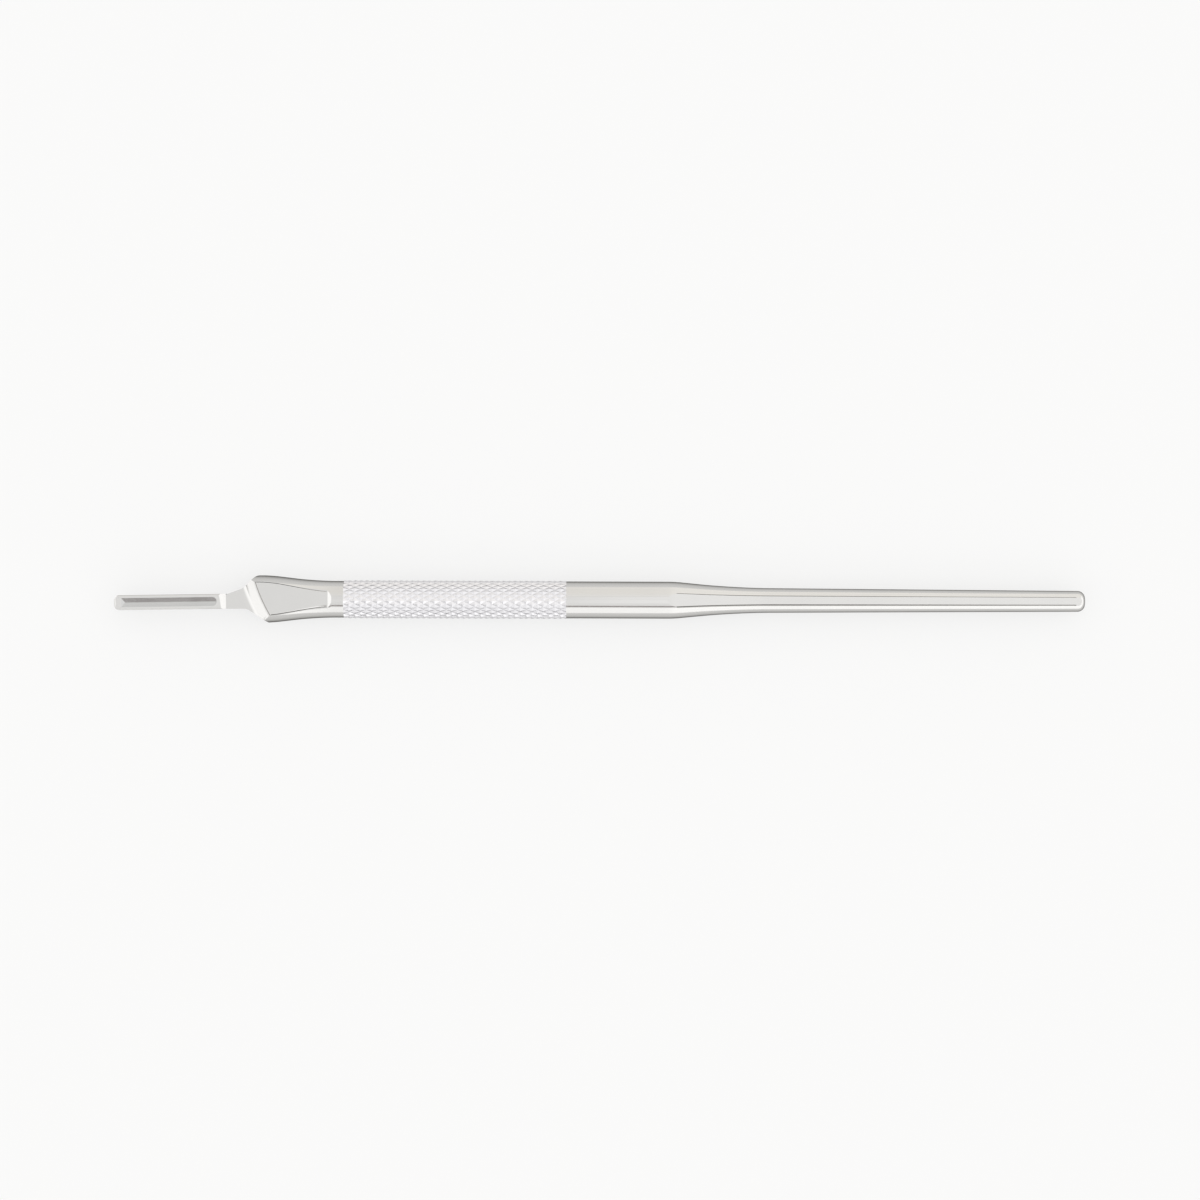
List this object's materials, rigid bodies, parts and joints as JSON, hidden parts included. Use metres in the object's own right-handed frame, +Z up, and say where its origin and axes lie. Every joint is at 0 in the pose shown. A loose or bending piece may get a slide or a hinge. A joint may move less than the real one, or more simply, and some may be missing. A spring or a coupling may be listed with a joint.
{
  "type": "scalpel handle",
  "caption": "Slender round metal scalpel handle with a grooved blade bar, diagonal blade shoulder, flared neck, diamond-knurled grip and a thin rounded rear shaft.",
  "frame": {"origin": "middle of the length, under the long axis, at the height of the surface that the knurled band rests on", "axes": "+X along the long axis from the blade bar to the rounded end, +Z up out of the front with the blade bar's raised head"},
  "size_m": [0.16, 0.0078, 0.0063],
  "materials": {
    "steel": "satin polished stainless steel"
  },
  "bodies": {
    "root": {"scalpel_handle": "steel"}
  },
  "joints": []
}
